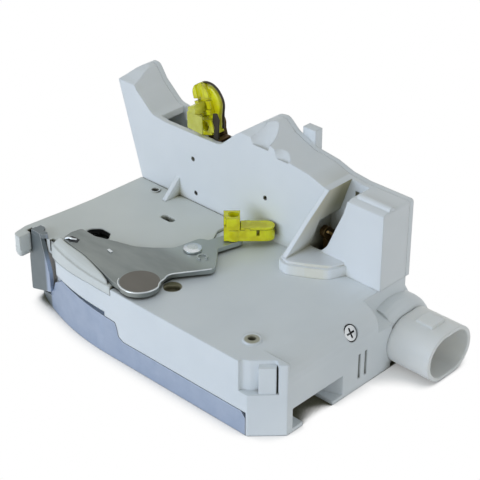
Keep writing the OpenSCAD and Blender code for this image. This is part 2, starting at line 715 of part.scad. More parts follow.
module claw_spring() {
    color("#b9bcc0") on_frame() {
        translate([claw_x, claw_y, claw_z + claw_t + 1.05]) wire_coil(7, 0.65, 2);
        translate([claw_x, claw_y + 7, claw_z + claw_t + 1.05 + 0.65]) rotate([0, 90, 0]) cylinder(r = 0.65, h = 14, $fn = 16);
    }
}

module pawl() {
    color("#7e858c") on_frame() difference() {
        union() {
            along_z(claw_z, claw_z + claw_t) translate([pawl_x, pawl_y]) {
                circle(r = 6.4);
                bar2d([0, 0], [4.2, 14], 4.2);
                bar2d([4.2, 14], [pawl_reach_x(), 26.6], 3.2);
            }
            translate([post_x, post_y, claw_z + claw_t - e]) cylinder(r = post_r, h = base_h - 5.4 - claw_z - claw_t);
        }
        translate([pawl_x, pawl_y, -1]) cylinder(r = pawl_pin_r + run, h = 20);
    }
}

// reach of the pawl tip along X that leaves it just off the ratchet rim
function pawl_reach_x() = claw_x - sqrt(pow(rim_r + 3.2 + gap, 2) - pow(claw_y - pawl_y - 26.6, 2)) - pawl_x;

module pawl_spring() {
    color("#b9bcc0") on_frame() {
        translate([pawl_x, pawl_y, claw_z + claw_t + gap]) wire_coil(5.2, 0.55, 2);
        translate([pawl_x - 14, pawl_y - 5.2, claw_z + claw_t + gap + 0.55]) rotate([0, 90, 0]) cylinder(r = 0.55, h = 14, $fn = 16);
    }
}

module ajar_switch() {
    color("#2f3a44") on_frame() difference() {
        along_z(plate_t, plate_t + 7) translate([claw_x - 9, claw_y + 17]) square([18, base_w - wall - claw_y - 17]);
        translate([claw_x - 2.3, claw_y + 16, plate_t + 1.9]) cube([4.6, 3.6, 3.2]);
    }
}

module switch_plunger() {
    color("#d8d4c8") on_frame() translate([claw_x - 2, claw_y + 16.4, plate_t + 2.2]) {
        cube([4, 1.8, 2.6]);
        translate([2, 0, 0]) cylinder(r = 2, h = 2.6, $fn = 32);
    }
}

module lever_rivet() {
    color("#a9aeb2") on_frame() translate([rel_x, rel_y, 0]) {
        translate([0, 0, inner_roof - 0.01]) cylinder(r = rel_pin_r - 1.02, h = roof_t + 0.02);
        translate([0, 0, base_h]) cylinder(r = rel_pin_r, h = lever_top + 0.2 - base_h);
        translate([0, 0, lever_top + 0.2]) cylinder(r = rel_pin_r + 0.7, h = 0.9);
        translate([0, 0, lever_top + 1.1 - e]) cylinder(r1 = rel_pin_r + 0.7, r2 = rel_pin_r - 0.8, h = 0.5);
        translate([0, 0, inner_roof - 5]) cylinder(r = rel_pin_r - 1.02, h = 5 + e);
        translate([0, 0, inner_roof - 5.8]) cylinder(r = rel_pin_r + 2.4, h = 0.9);
    }
}

// outline of the release lever seen from above
module lever_plan() {
    translate(disc) circle(r = disc_r);
    polygon(soft([[18.2, 20, 1.5], [17.2, 15, 3], [18.4, 9.6, 2], [22.9, 8.6, 3], [34.8, 7, 12], [47.5, 3.8, 8],
        [57.4, 1.3, 1], [65, 0.8, 0], [71, 9, 0], [70.2, 15.2, 2], [68.6, 19.8, 2.5], [79.3, 35, 3],
        [74.8, 40.6, 3], [66, 50.6, 3], [58.4, 47.4, 3], [57.2, 40, 4], [56.4, 35.2, 8], [50.2, 29.5, 10],
        [44.3, 25.2, 10], [36.3, 22.8, 8], [26.6, 19.4, 8]]));
    bar2d([65, 46], [68, 57.2], 3.7);
}

module release_lever() {
    color("#757b78") on_frame() difference() {
        union() {
            along_z(lever_z, lever_top) lever_plan();
            // stamped disc and the small loop beside the rivet
            along_z(lever_top - e, lever_top + 0.25) translate(disc) circle(r = disc_r - 0.3);
            along_z(lever_top - e, lever_top + 0.8) translate([rel_x + 7, rel_y - 1.6]) difference() {
                circle(r = 2.3, $fn = 24);
                circle(r = 1.5, $fn = 24);
                translate([0.6, -3]) square([4, 3]);
            }
            // edge bent down through the slot in the roof to the post of the pawl
            translate([tab_x, post_y - 3.6, base_h - 9]) cube([2, 7, lever_top - base_h + 9 - 0.2]);
            // left end bent down through the window of the cover
            translate([24, 13.2, base_h - 3]) cube([3, 2, lever_z - base_h + 3.2]);
        }
        translate([rel_x, rel_y, 0]) cylinder(r = rel_pin_r + run, h = 60);
        translate([68, 57.2, 0]) cylinder(r = rod_hole, h = 60);
    }
}

module release_spring() {
    color("#b9bcc0") on_frame() {
        translate([rel_x, rel_y, inner_roof - 4.6]) wire_coil(5, 0.6, 2);
        translate([rel_x + 5, rel_y - 11, inner_roof - 4]) rotate([-90, 0, 0]) cylinder(r = 0.6, h = 11, $fn = 16);
    }
}

// snap clip that holds a rod: journal under it, hub, arm with the rod seat, and the raised
// end with its two lugs, along +X from its hub; w is half its width, t the height of its arm
module rod_clip(l, h, t, w, journal_r, journal_l) {
    difference() {
        union() {
            translate([0, 0, -journal_l]) cylinder(r = journal_r, h = journal_l + 1);
            cylinder(r = 4, h = t);
            translate([0, -w, 0]) cube([l - w, 2 * w, t]);
            translate([l - w, 0, 0]) cylinder(r = w - 0.04, h = t);
            translate([-4, -w, 0]) cube([6.6, 2 * w, h]);
            translate([4.4, -w, 0]) cube([2.2, 2 * w, t + 0.9]);
        }
        // bore for the bent rod through the hub
        translate([0, 0, -journal_l - 1]) cylinder(r = rod_r + 0.15, h = h + journal_l + 2);
        // groove that the rod snaps into, and the slits that free its lips
        translate([3.2, 0, t]) rotate([0, 90, 0]) cylinder(r = rod_r + 0.1, h = l);
        translate([l - 7.4, -w - 1, t * 0.5]) cube([1.1, 2 * w + 2, h]);
        translate([-5, -w - 1, h * 0.62]) cube([2, 2.6, h]);
    }
}

module rod_clip_lower() {
    color("#c9cc1c") on_frame() translate([68, 57.2, lever_top + gap]) rotate(44)
        rod_clip(16.6, 10.4, 5, 3.4, rod_hole - 0.08, gap + rel_t + 0.9);
}

// front outline of the upright housing in X and Z
module upright_front() {
    polygon(soft([[0.6, base_h, 0], [-12.6, fin_l_z - 4.4, 0.8], [-9.6, fin_l_z - 0.4, 2.5], [-5.6, fin_l_z - 0.4, 3], [-1.4, fin_l_z - 6.6, 3],
        [7.8, notch_z + 0.6, 6], [16, notch_z - 0.4, 4], [47.5, notch_z, 6], [56.6, fin_r_z - 6.4, 3], [64.6, fin_r_z - 0.8, 4],
        [69.4, fin_r_z, 4], [74.9, fin_r_z - 4.8, 6], [84.6, fin_r_z - 8.8, 8], [95.9, fin_r_z - 10.4, 6],
        [103.6, notch_z + 1.6, 6], [112, notch_z + 0.6, 4], [box_x, notch_z + 0.6, 1.2], [box_x, base_h, 0]], 4));
}

// inside of the upright housing in X and Z
module upright_room(w) {
    polygon([[2.4 + w, base_h - 2], [-8.4 + w, fin_l_z - 12], [6, notch_z - 3 - w], [47.5, notch_z - 1 - w], [60, fin_r_z - 12],
        [chan_x - w, fin_r_z - 14], [chan_x - w, base_h - 2]]);
}

module actuator_housing() {
    color("#cfdbe4") on_frame() {
        difference() {
            union() {
                along_y(base_w, back_cover_y) upright_front();
                // foot beside the channel and its slanted web
                along_z(base_h + 0.02, base_h + 4.4) foot_plan();
                translate([0, 0, base_h + 4.4 - e]) linear_extrude(1.2 + e) intersection() {
                    translate([-0.8, 1]) foot_plan();
                    translate([0.4, 1]) foot_plan();
                }
                intersection() {
                    along_y(base_w - 16, base_w + e) polygon([[web_x, base_h + 5], [web_x + 2.2, base_h + 5],
                        [web_x + 12.4, notch_z + 1.6], [web_x + 10.2, notch_z + 1.6]]);
                    along_x(web_x - 1, web_x + 14) polygon([[base_w + e, base_h + 5], [base_w - 13.6, base_h + 5],
                        [base_w - 12.6, base_h + 7], [base_w - 6.4, base_h + 22], [base_w + e, notch_z + 1.6]]);
                }
            }
            // room for the lock drive, open at the back
            along_y(base_w + wall, back_cover_y + 1) difference() {
                upright_room(0);
                translate([14, base_h - 3]) square([4, 16]);
            }
            // notch where the lock lever comes out
            along_y(base_w + wall, back_cover_y + 1) polygon([[11, notch_z - 8], [47, notch_z - 8], [47, fin_r_z + 4],
                [11, fin_r_z + 4]]);
            // room in the box, open at the back
            along_y(base_w + wall, back_cover_y + 1) translate([chan_x1 + wall, base_h - 1])
                square([box_x - wall * 2 - chan_x1, notch_z - base_h - wall]);
            channel_cut();
            fin_scoops();
            // small marks in the front wall
            along_y(base_w - 1, base_w + wall + 1) {
                translate([31.9, 52.6]) circle(r = 0.9, $fn = 24);
                translate([33.3, 37]) rotate(30) square([0.8, 2], center = true);
                translate([72.8, 49.7]) rotate(-30) square([0.8, 2.2], center = true);
            }
        }
        // end rib on top of the box
        translate([chan_x1 + 11, base_w + 5, notch_z + 0.4]) rotate([0, 90, 0]) intersection() {
            cylinder(r = 1.7, h = 16);
            translate([-2, -2, -1]) cube([2, 4, 20]);
        }
        // gusset between wall and cover
        along_x(21.4, 23.6) polygon([[base_w + e, cover_z + 0.02], [base_w - 8.6, cover_z + 0.02], [base_w + e, cover_z + 8.4]]);
    }
}

// plan of the foot block in front of the channel
module foot_plan() {
    polygon(soft([[web_x - 3.4, base_w + e, 0], [web_x - 3, base_w - 8, 3], [web_x - 1.4, base_w - 14, 4], [web_x + 4, base_w - 15.6, 4],
        [web_x + 11, base_w - 12, 4], [web_x + 19, base_w - 7, 5], [web_x + 22, base_w + e, 0]]));
}

// open channel beside the box, open to the front and the top
module channel_cut() {
    along_y(base_w - 8, back_cover_y - wall) {
        polygon(soft([[web_x + 2.6, base_h + 5.7, 0], [102.6, base_h + 5.7, 3], [106, 40.8, 8], [110.2, 50.8, 10], [113.4, 58, 8],
            [115.6, notch_z + 1, 4], [116.2, notch_z + 12, 0], [web_x + 14.6, notch_z + 12, 0], [web_x + 12.4, notch_z + 1.4, 4]]));
    }
    translate([web_x + 2.4, base_w + 0.8, base_h - 8]) cube([chan_x1 - web_x - 4.6, up_t - 2 * wall - 0.8, 27]);
}

// half round scoops in the front of the right fin, and the slopes on the tops
module fin_scoops() {
    along_x(-16, 12) polygon([[base_w - 1, fin_l_z - 4.8], [base_w + 3, fin_l_z - 3.6], [base_w + 8, fin_l_z - 1.6],
        [base_w + 13, fin_l_z - 0.4], [base_w + 13, fin_l_z + 9], [base_w - 1, fin_l_z + 9]]);
    along_x(48, 66) polygon([[base_w - 1, fin_r_z - 5.2], [base_w + 3, fin_r_z - 4], [base_w + 8, fin_r_z - 1.6],
        [base_w + 12, fin_r_z], [base_w + 12, fin_r_z + 9], [base_w - 1, fin_r_z + 9]]);
    scoop(70, 5.2, fin_r_z - 10.4);
    scoop(82, 4.4, fin_r_z - 11.2);
    along_x(chan_x1 + 9.4, box_x + 1) polygon([[base_w - 1, notch_z - 0.6], [base_w + 1.2, notch_z + 0.2], [base_w + 3.4, notch_z + 0.7],
        [base_w + 4, notch_z + 9], [base_w - 1, notch_z + 9]]);
}

// half round scoop that rises to the back, z is its lowest point in the front face
module scoop(x, r, z) {
    translate([x, base_w - 2, z + 1.346 * r - 1.8]) rotate([-48, 0, 0]) cylinder(r = r, h = 50);
}

module actuator_cover() {
    color("#cfdbe4") on_frame() {
        along_y(back_cover_y + 0.02, base_back) difference() {
            upright_front();
            translate([12, notch_z - 6]) square([34, 30]);
        }
        // stiffening ribs on the back
        for (x = [20, 52, 84, 116]) along_y(base_back - e, base_back + 1.4) translate([x, base_h + 5]) square([1.8, notch_z - base_h - 12]);
        // guide tab behind the right fin
        translate([76.6, base_back - e, fin_r_z - 14]) cube([6.6, 4, 11.6]);
    }
}

module lock_lever_pin() {
    color("#8d9298") on_frame() translate([lock_x, 0, lock_z]) {
        along_y(base_w + wall, gear_y0 - 0.5) circle(r = 4.4);
        along_y(base_w + wall, back_cover_y) circle(r = 3);
    }
}

module lock_lever() {
    color("#6b5636") on_frame() difference() {
        along_y(lock_y0, lock_y0 + lock_t) union() {
            translate([lock_x, lock_z]) circle(r = 6.4);
            bar2d([lock_x, lock_z], [lock_tip[0], lock_tip[1] - 4], 5);
            bar2d([lock_tip[0], lock_tip[1] - 4], lock_tip, 4.6);
        }
        translate([lock_x, 0, lock_z]) along_y(gear_y0 - 3, back_cover_y) circle(r = 3 + run);
        translate([lock_tip[0], 0, lock_tip[1]]) along_y(gear_y0, back_cover_y) circle(r = rod_hole);
    }
}

module lock_sector() {
    color("#e6e2d2") on_frame() translate([lock_x, 0, lock_z]) difference() {
        union() {
            along_y(gear_y0, lock_y0) circle(r = 6);
            along_y(gear_y0, gear_y1) rotate(sector_a - 180) union() {
                intersection() {
                    circle(r = sector_r - 1.1 * gear_m + 0.02, $fn = 90);
                    polygon([[0, -4], [sector_r + 3, -13.4], [sector_r + 3, 13.4], [0, 4]]);
                }
                for (k = [-3:1:2]) rotate((k + 0.5) * 360 / (2 * sector_r / gear_m))
                    tooth2d(sector_r, sector_r + 0.85 * gear_m, sector_r - 1.1 * gear_m, gear_m, 0.22);
            }
        }
        along_y(gear_y0 - 1, lock_y0 + 1) circle(r = 3 + run);
    }
}

module rod_clip_upper() {
    color("#c9cc1c") on_frame() translate([lock_tip[0], lock_y0 - gap, lock_tip[1]]) rotate([90, 0, 0]) rotate(108)
        rod_clip(17.6, 5.5, 4, 4.6, rod_hole - 0.08, gap + lock_t + 0.8);
}

module gear_pin() {
    color("#8d9298") on_frame() along_y(base_w + wall, back_cover_y) translate([wheel_x, wheel_z]) circle(r = 2);
}

module drive_gear() {
    color("#e6e2d2") on_frame() translate([wheel_x, 0, wheel_z]) difference() {
        union() {
            along_y(gear_y0, lock_y0 + e) rotate(sector_a) gear2d(pinion_n, gear_m, 0.22);
            along_y(lock_y0, lock_y0 + 4) rotate(-90 + 180 / wheel_n) gear2d(wheel_n, gear_m, 0.5);
        }
        along_y(gear_y0 - 1, lock_y0 + 5) circle(r = 2 + run);
        for (k = [0:4]) rotate([0, k * 72, 0]) translate([9, 0, 0]) along_y(lock_y0 + 1.2, lock_y0 + 5) circle(r = 3);
    }
}

module lock_motor() {
    color("#a8adb3") on_frame() translate([0, motor_y, motor_z]) {
        intersection() {
            translate([24, 0, 0]) rotate([0, 90, 0]) cylinder(r = motor_d / 2, h = motor_l);
            translate([20, -20, -motor_d * 0.385]) cube([motor_l + 10, 40, motor_d * 0.77]);
        }
        translate([24 + motor_l - e, 0, 0]) rotate([0, 90, 0]) cylinder(r = 3, h = 2.2);
        translate([22.4, 0, 0]) rotate([0, 90, 0]) cylinder(r = 3, h = 1.61);
    }
}

module motor_worm() {
    color("#d0cdb8") on_frame() translate([worm_x0, motor_y, motor_z]) rotate([0, 90, 0]) {
        linear_extrude(worm_l, twist = -360 * worm_l / (PI * gear_m), slices = 60)
            rotate(-360 * (wheel_x - worm_x0) / (PI * gear_m))
                polygon([for (k = [0:17]) worm_rad(k / 18) * [cos(k * 20), sin(k * 20)]]);
        translate([0, 0, -4.6]) cylinder(r = worm_r - 1.7, h = worm_l + 6);
        translate([0, 0, -7.6]) cylinder(r = 1, h = worm_l + 13);
    }
}

// radius of the worm at share u of one turn, root to crest and back
function worm_rad(u) = let (d = abs(u - 0.5) * 2)
    d < 0.26 ? worm_r + 0.8 * gear_m : d < 0.56 ? worm_r + 0.8 * gear_m - (d - 0.26) / 0.3 * 1.9 * gear_m : worm_r - 1.1 * gear_m;

module motor_lid() {
    color("#c3cacc") on_frame() difference() {
        translate([19.4, base_w + 0.4, 0.1]) cube([base_l - 20.8, 26, plate_t]);
        translate([base_l - 30, base_w + 22, -1]) cube([40, 10, 10]);
    }
}

module inner_lever_pin() {
    color("#8d9298") on_frame() along_x(chan_x + 0.8, chan_x1 - 0.8) translate([base_w + 8.6, base_h - 4]) circle(r = 2);
}

module inner_lever() {
    color("#5b4630") on_frame() difference() {
        union() {
            along_x(chan_x + 13.8, chan_x + 16) union() {
                bar2d([base_w + 8.6, base_h - 4], [base_w + 8.2, base_h + 8], 3.4);
                bar2d([base_w + 8.2, base_h + 8], [base_w + 5, base_h + 12], 2.4);
            }
            along_x(chan_x + 10.6, chan_x + 17) translate([base_w + 8.6, base_h - 4]) circle(r = 3.2);
        }
        along_x(chan_x, chan_x1) translate([base_w + 8.6, base_h - 4]) circle(r = 2 + run);
        along_x(chan_x, chan_x1) translate([base_w + 8.2, base_h + 6.4]) circle(r = 1.6);
    }
}

module inner_spring() {
    color("#b9bcc0") on_frame() translate([chan_x + 8.4, base_w + 8.6, base_h - 4]) rotate([0, 90, 0]) {
        wire_coil(2.9, 0.45, 2);
        translate([2.9, 0, 0.45]) rotate([-90, 0, 0]) cylinder(r = 0.45, h = 5, $fn = 16);
    }
}

// outline of the plug socket in Y and Z, grown by g
module plug2d(g) {
    hw = plug_w / 2 - plug_h / 2;
    bar2d([plug_y - hw, plug_z], [plug_y + hw, plug_z], plug_h / 2 + g);
}

module connector_socket() {
    color("#dfe3dc") on_frame() {
        difference() {
            union() {
                along_x(base_l + 0.02, base_l + plug_l) plug2d(0);
                along_x(base_l - wall - 2, base_l + 1) bar2d([plug_y - 5, plug_z], [plug_y + 5, plug_z], 5.3);
            }
            along_x(base_l + 2.4, base_l + plug_l + 1) plug2d(-1.6);
            along_x(base_l - 12, base_l + 4) translate([plug_y - 6, plug_z - 2]) square([12, 4]);
        }
        // latch step for the plug on top
        along_x(base_l + 6, base_l + 14) translate([plug_y - 4, plug_z + plug_h / 2 - 0.5]) square([8, 1.6]);
    }
}

module connector_pins() {
    color("#b98a3a") on_frame() {
        along_x(base_l - wall - 4, base_l + 2.4) translate([plug_y - 5.9, plug_z - 1.95]) square([11.8, 3.9]);
        for (y = [-5:2:5]) translate([base_l, plug_y + y - 0.4, plug_z - 0.4]) cube([12, 0.8, 0.8]);
    }
}

module lead_frame() {
    color("#b07a36") on_frame() for (y = [-5:2:5]) {
        translate([54 + 3 * (y + 5), plug_y + y - 0.4, plate_t + 0.4]) cube([base_l - wall - 4 - 54 - 3 * (y + 5), 0.8, 0.8]);
        translate([base_l - wall - 4.8, plug_y + y - 0.4, plate_t + 0.4]) cube([0.8, 0.8, plug_z - plate_t]);
    }
}

module screw(l) {
    cylinder(r = 1.25, h = l);
    translate([0, 0, l - e]) difference() {
        cylinder(r = 3, h = 1.8);
        translate([-2, -0.4, 0.8]) cube([4, 0.8, 2]);
        translate([-0.4, -2, 0.8]) cube([0.8, 4, 2]);
    }
}

// place of the end screw, +Z out of the rounded edge
module at_screw() {
    translate([base_l - 2.2, base_w - 23, base_h - 5.4]) rotate([0, 58, 0]) children();
}

module housing_screws() {
    color("#777b80") on_frame() {
        at_screw() translate([0, 0, -6.3]) screw(4.8);
    }
}

face_plate();
latch_housing();
top_cover();
back_plate();
claw_pin();
pawl_pin();
striker_bumper();
claw();
claw_jacket();
claw_spring();
pawl();
pawl_spring();
ajar_switch();
switch_plunger();
lever_rivet();
release_lever();
release_spring();
rod_clip_lower();
actuator_housing();
actuator_cover();
lock_lever_pin();
lock_lever();
lock_sector();
rod_clip_upper();
gear_pin();
drive_gear();
lock_motor();
motor_worm();
motor_lid();
inner_lever_pin();
inner_lever();
inner_spring();
connector_socket();
connector_pins();
lead_frame();
housing_screws();
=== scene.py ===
# Looks of a vehicle door lock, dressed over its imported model. Everything is in metres, in the
# part's own frame: +X towards the plug socket, +Y towards the rear bay, +Z up.
import math

import bmesh
import bpy
from mathutils import Matrix, Vector


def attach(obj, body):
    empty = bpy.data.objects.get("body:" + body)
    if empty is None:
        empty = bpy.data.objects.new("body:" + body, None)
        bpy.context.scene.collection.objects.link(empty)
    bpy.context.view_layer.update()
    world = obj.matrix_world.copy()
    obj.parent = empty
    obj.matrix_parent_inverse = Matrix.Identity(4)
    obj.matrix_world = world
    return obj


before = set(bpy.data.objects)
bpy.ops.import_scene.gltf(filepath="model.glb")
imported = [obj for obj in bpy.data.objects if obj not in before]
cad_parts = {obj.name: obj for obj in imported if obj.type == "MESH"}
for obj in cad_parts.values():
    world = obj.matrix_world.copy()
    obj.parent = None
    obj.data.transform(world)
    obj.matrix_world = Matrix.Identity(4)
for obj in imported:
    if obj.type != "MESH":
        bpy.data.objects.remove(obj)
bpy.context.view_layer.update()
scene = bpy.context.scene
MM = 0.001


def at(x, y, z):
    """A point given in millimetres from the left front bottom corner of the base."""
    return Vector(((x - 70) * MM, (y - 33) * MM, z * MM))


# Camera, which stands where the photograph was taken from. Its place is given in millimetres
# from the corner of the base, along its own side, rise and gaze.
TURN, TILT = math.radians(43.681), math.radians(30.622)
CAMERA_SIDE, CAMERA_RISE, CAMERA_BACK = 91.244, 26.244, 626.304
side = Vector((math.cos(TURN), math.sin(TURN), 0))
gaze = Vector((-math.sin(TURN) * math.cos(TILT), math.cos(TURN) * math.cos(TILT), -math.sin(TILT)))
rise = side.cross(gaze)
camera_data = bpy.data.cameras.new("camera")
camera_data.sensor_width = 36
camera_data.lens = 112.5
camera_data.clip_start, camera_data.clip_end = 0.01, 20
camera = bpy.data.objects.new("camera", camera_data)
scene.collection.objects.link(camera)
camera.matrix_world = Matrix((side, rise, -gaze)).transposed().to_4x4()
camera.location = at(0, 0, 0) + (side * CAMERA_SIDE + rise * CAMERA_RISE - gaze * CAMERA_BACK) * MM
scene.camera = camera
scene.view_settings.view_transform = "Standard"


def colour(code):
    """An sRGB hex code as the linear colour that the shaders take."""
    parts = [int(code[k:k + 2], 16) / 255 for k in (1, 3, 5)]
    return (*[p / 12.92 if p <= 0.04045 else ((p + 0.055) / 1.055) ** 2.4 for p in parts], 1.0)


def add_node(tree, kind, inputs=None, take=None, **settings):
    """Adds a node, sets what it is told and links the sockets it is given. It hands back the
    output that take names, or else the node."""
    made = tree.nodes.new(kind)
    for name, value in settings.items():
        setattr(made, name, value)
    for socket, value in (inputs or {}).items():
        if isinstance(value, bpy.types.NodeSocket):
            tree.links.new(value, made.inputs[socket])
        else:
            made.inputs[socket].default_value = value
    return made if take is None else made.outputs[take]


# sockets of the Mix node when it mixes colours, which have no names of their own
FIRST, SECOND, MIXED = 6, 7, 2
# span that most of the noise stays in
NOISE_LOW, NOISE_HIGH = 0.3, 0.7


def new_material(name):
    """An empty node material, with its tree and the output that its shader goes to."""
    made = bpy.data.materials.new(name)
    made.use_nodes = True
    made.node_tree.nodes.clear()
    return made, made.node_tree, add_node(made.node_tree, "ShaderNodeOutputMaterial")


def grain(tree, size_mm, detail=3.0, stretch=(1, 1, 1)):
    """Noise whose grains are about size_mm across on the object."""
    place = add_node(tree, "ShaderNodeTexCoord", take="Object")
    scaled = add_node(tree, "ShaderNodeMapping", {"Vector": place, "Scale": stretch}, "Vector")
    return add_node(tree, "ShaderNodeTexNoise", {
        "Vector": scaled, "Scale": 1 / (size_mm * MM), "Detail": detail, "Roughness": 0.55}, "Fac")


def drifting_tone(tree, noise, pale, dull, low=NOISE_LOW, high=NOISE_HIGH):
    """Colour that drifts between two tones with the noise, as no batch is quite even."""
    share = add_node(tree, "ShaderNodeMapRange", {
        "Value": noise, "From Min": low, "From Max": high}, "Result")
    return add_node(tree, "ShaderNodeMix", {
        "Factor": share, FIRST: colour(pale), SECOND: colour(dull)}, MIXED, data_type="RGBA")


def soft_edges(tree, radius_mm, relief, depth_mm):
    """Normal of a moulded or tumbled part: rounded edges and a fine relief in its skin."""
    rounded = add_node(tree, "ShaderNodeBevel", {"Radius": radius_mm * MM}, "Normal", samples=8)
    return add_node(tree, "ShaderNodeBump", {
        "Height": relief, "Distance": depth_mm * MM, "Strength": 0.5, "Normal": rounded}, "Normal")


def painted_edge_mask(tree, radius_mm, full=0.55):
    """1 along sharp edges, where a painted highlight or edge tone goes, and 0 on the flats."""
    rounded = add_node(tree, "ShaderNodeBevel", {"Radius": radius_mm * MM}, "Normal", samples=8)
    flat = add_node(tree, "ShaderNodeNewGeometry", take="Normal")
    likeness = add_node(tree, "ShaderNodeVectorMath", {0: rounded, 1: flat}, "Value",
                        operation="DOT_PRODUCT")
    bent = add_node(tree, "ShaderNodeMapRange", {
        "Value": likeness, "From Min": 0.82, "From Max": 0.97, "To Min": 1.0, "To Max": 0.0},
        "Result")
    return add_node(tree, "ShaderNodeMapRange", {
        "Value": bent, "From Min": 0.0, "From Max": 1.0, "To Max": full}, "Result")


def hollow_shade(tree, reach_mm, stops):
    """Colour that darkens slots and deep corners with painted shade."""
    closed = add_node(tree, "ShaderNodeAmbientOcclusion", {"Distance": reach_mm * MM}, "AO",
                      samples=8)
    ramp = add_node(tree, "ShaderNodeValToRGB", {"Fac": closed})
    bar = ramp.color_ramp.elements
    while len(bar) < len(stops):
        bar.new(1.0)
    for mark, (place, code) in zip(bar, stops):
        mark.position, mark.color = place, colour(code)
    return ramp.outputs["Color"]


def spread_along(tree, axis, start_mm, end_mm):
    """0 before one place along an axis of the part and 1 past the other, in its own frame."""
    place = add_node(tree, "ShaderNodeTexCoord", take="Object")
    along_axis = add_node(tree, "ShaderNodeSeparateXYZ", {"Vector": place}, axis)
    return add_node(tree, "ShaderNodeMapRange", {
        "Value": along_axis, "From Min": start_mm * MM, "From Max": end_mm * MM}, "Result")


def near_point(tree, centre, inner_mm, outer_mm):
    """1 within the inner distance of a point of the part and 0 past the outer one."""
    place = add_node(tree, "ShaderNodeTexCoord", take="Object")
    reach = add_node(tree, "ShaderNodeVectorMath", {0: place, 1: centre}, "Value",
                     operation="DISTANCE")
    return add_node(tree, "ShaderNodeMapRange", {
        "Value": reach, "From Min": inner_mm * MM, "From Max": outer_mm * MM,
        "To Min": 1.0, "To Max": 0.0}, "Result")


def spot(tree, tone, centre, radius_mm, code):
    """A round place with a tone of its own and an edge that fades over half a millimetre."""
    share = near_point(tree, centre, radius_mm - 0.25, radius_mm + 0.25)
    return add_node(tree, "ShaderNodeMix", {"Factor": share, FIRST: tone, SECOND: colour(code)},
                    MIXED, data_type="RGBA")


# painted shade that darkens a hollow, from shut in to open
LIGHT_HOLLOW_SHADE = [(0.05, "#25221D"), (0.15, "#5E574A"), (0.28, "#B0A98C"), (0.42, "#FFFFFF")]
PALE_HOLLOW_SHADE = [(0.05, "#5E594E"), (0.18, "#948F80"), (0.42, "#FFFFFF")]
CHANNEL_HOLLOW_SHADE = [(0.05, "#3A3426"), (0.14, "#8A8264"), (0.28, "#C4BD9C"), (0.44, "#FFFFFF")]
COVER_HOLLOW_SHADE = [(0.10, "#151412"), (0.26, "#4A463E"), (0.36, "#B0A98C"), (0.46, "#FFFFFF")]
RECESS_SHADE = [(0.15, "#0B0B0C"), (0.5, "#2E2E30"), (0.8, "#FFFFFF")]
CLIP_HOLLOW_SHADE = [(0.05, "#6E6A08"), (0.25, "#C4C05A"), (0.5, "#FFFFFF")]


def moulded_plastic(name, pale, dull, rough=(0.38, 0.5), edge_mm=0.9, ior=1.48, glow=0.12,
                    reach_mm=9, deep=0.9, hollow_shade_stops=LIGHT_HOLLOW_SHADE, zone=None):
    """Injection moulded plastic: satin from the eroded mould, a little duller where it was
    handled, with edges that never come off the tool sharp and painted shade in its slots and
    corners. The skin of the mould is drawn with grains of 0.9 mm, coarser than the real 0.1 mm,
    so that it shows."""
    made, tree, output = new_material(name)
    cloud = grain(tree, 38)
    body = drifting_tone(tree, cloud, pale, dull)
    if zone:
        body = zone(tree, body)
    # the base colour is multiplied by painted shade in slots and corners
    shader = add_node(tree, "ShaderNodeBsdfPrincipled", {
        "Base Color": add_node(tree, "ShaderNodeMix", {
            "Factor": 1.0, FIRST: body, SECOND: hollow_shade(tree, reach_mm, hollow_shade_stops)}, MIXED,
            data_type="RGBA", blend_type="MULTIPLY"),
        "Roughness": add_node(tree, "ShaderNodeMapRange", {
            "Value": cloud, "From Min": NOISE_LOW, "From Max": NOISE_HIGH,
            "To Min": rough[0], "To Max": rough[1]}, "Result"),
        "IOR": ior,
        "Subsurface Weight": glow,
        "Subsurface Radius": (deep, deep * 0.95, deep * 0.85),
        "Subsurface Scale": MM,
        "Normal": soft_edges(tree, edge_mm, grain(tree, 0.9, 4), 0.012),
    }, "BSDF")
    tree.links.new(shader, output.inputs["Surface"])
    return made


def sheet_steel(name, bright, dark, rough=(0.34, 0.5), edge_mm=0.25, metallic=1.0,
                streak=(1, 1, 1), zone=None, edge_highlight="#E4E8EA", recess_mm=None):
    """Pressed steel: the rolls leave faint streaks, the plating dulls them, and the press turns
    the edge over a little, where a painted highlight runs. A zone paints places with another
    tone, and recess_mm adds painted shade in recesses."""
    made, tree, output = new_material(name)
    rolled = grain(tree, 6.0, 3, streak)
    tone = drifting_tone(tree, rolled, bright, dark)
    if zone:
        tone = zone(tree, tone)
    # painted highlight along the edges
    tone = add_node(tree, "ShaderNodeMix", {
        "Factor": painted_edge_mask(tree, edge_mm), FIRST: tone, SECOND: colour(edge_highlight)}, MIXED,
        data_type="RGBA")
    # painted shade in recesses
    if recess_mm:
        tone = add_node(tree, "ShaderNodeMix", {
            "Factor": 1.0, FIRST: tone, SECOND: hollow_shade(tree, recess_mm, RECESS_SHADE)}, MIXED,
            data_type="RGBA", blend_type="MULTIPLY")
    shader = add_node(tree, "ShaderNodeBsdfPrincipled", {
        "Base Color": tone,
        "Metallic": metallic,
        "Roughness": add_node(tree, "ShaderNodeMapRange", {
            "Value": rolled, "From Min": NOISE_LOW, "From Max": NOISE_HIGH,
            "To Min": rough[0], "To Max": rough[1]}, "Result"),
        "Normal": soft_edges(tree, edge_mm, grain(tree, 0.5, 3), 0.008),
    }, "BSDF")
    tree.links.new(shader, output.inputs["Surface"])
    return made


